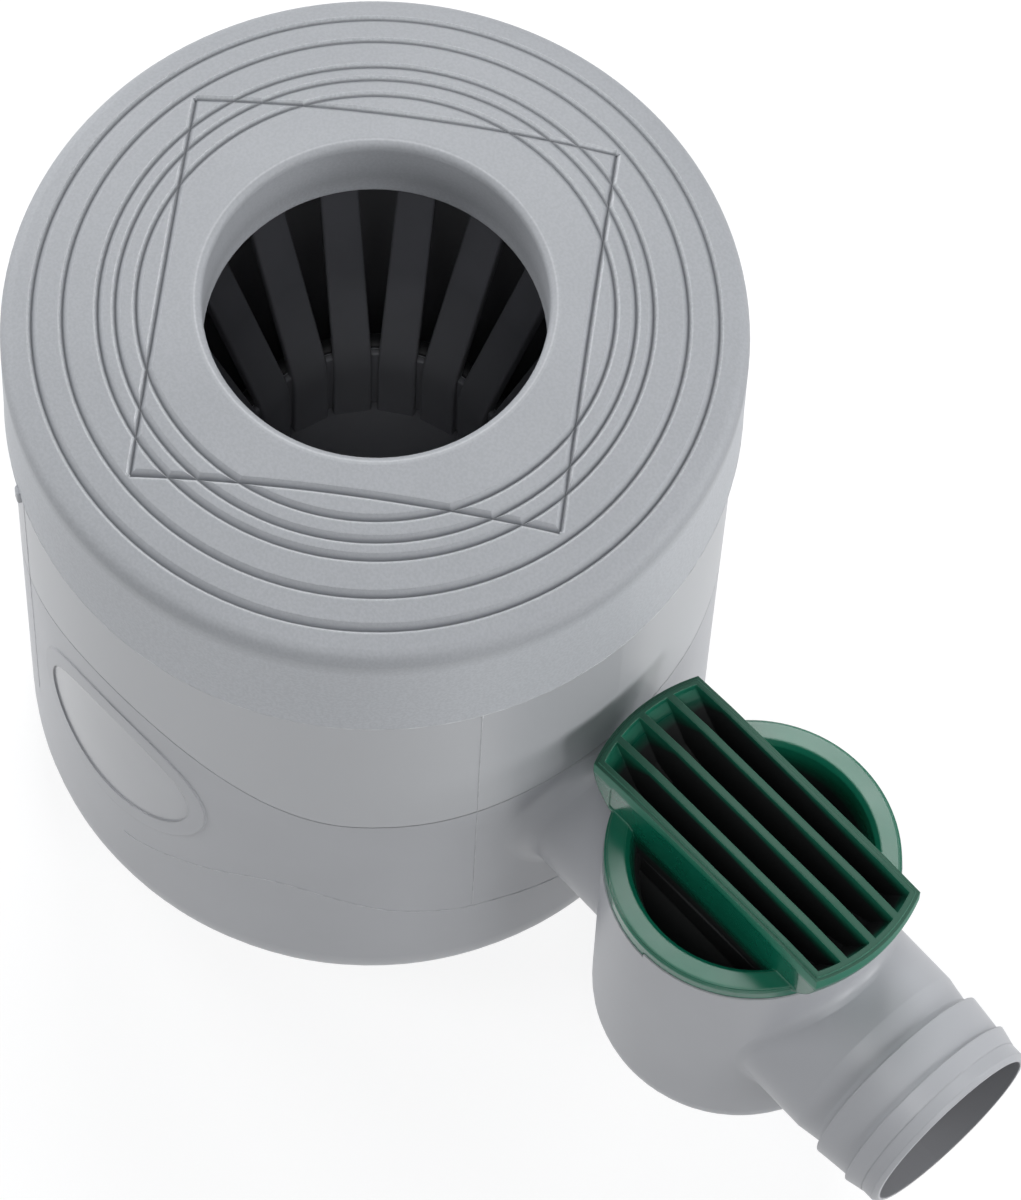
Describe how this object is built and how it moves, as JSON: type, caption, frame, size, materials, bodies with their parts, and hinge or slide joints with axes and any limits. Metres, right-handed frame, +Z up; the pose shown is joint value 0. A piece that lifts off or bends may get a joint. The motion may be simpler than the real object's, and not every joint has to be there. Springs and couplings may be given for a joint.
{
  "type": "rainwater diverter",
  "caption": "Round downpipe diverter: domed hood with cut-to-size rings, leaf basket, chamber and overflow pipe, and a falling branch with a turning shut-off plug and barbed hose spigot.",
  "frame": {"origin": "on the downpipe's axis, at the flat base of the housing", "axes": "+Z up the downpipe; +X along the branch, from the downpipe to the hose spigot; +Y to the left when looking along +X"},
  "size_m": [0.1836, 0.1092, 0.1333],
  "materials": {
    "grey_shell": "moulded polypropylene, spark-eroded dome and satin sides",
    "dark_basket": "satin moulded polypropylene",
    "green_plug": "glossy moulded polypropylene",
    "black_rubber": "matt moulded rubber"
  },
  "bodies": {
    "housing_body": {"housing": "grey_shell", "hood": "grey_shell", "leaf_basket": "dark_basket"},
    "plug_body": {"shutoff_plug": "green_plug", "plug_seal_upper": "black_rubber", "plug_seal_lower": "black_rubber"}
  },
  "joints": [
    {"name": "plug_turn", "type": "hinge", "parent": "housing_body", "child": "plug_body", "pos_m": [0.0833, 0, 0.0743], "axis": [0, 0, 1], "range_deg": [-90, 0]}
  ]
}
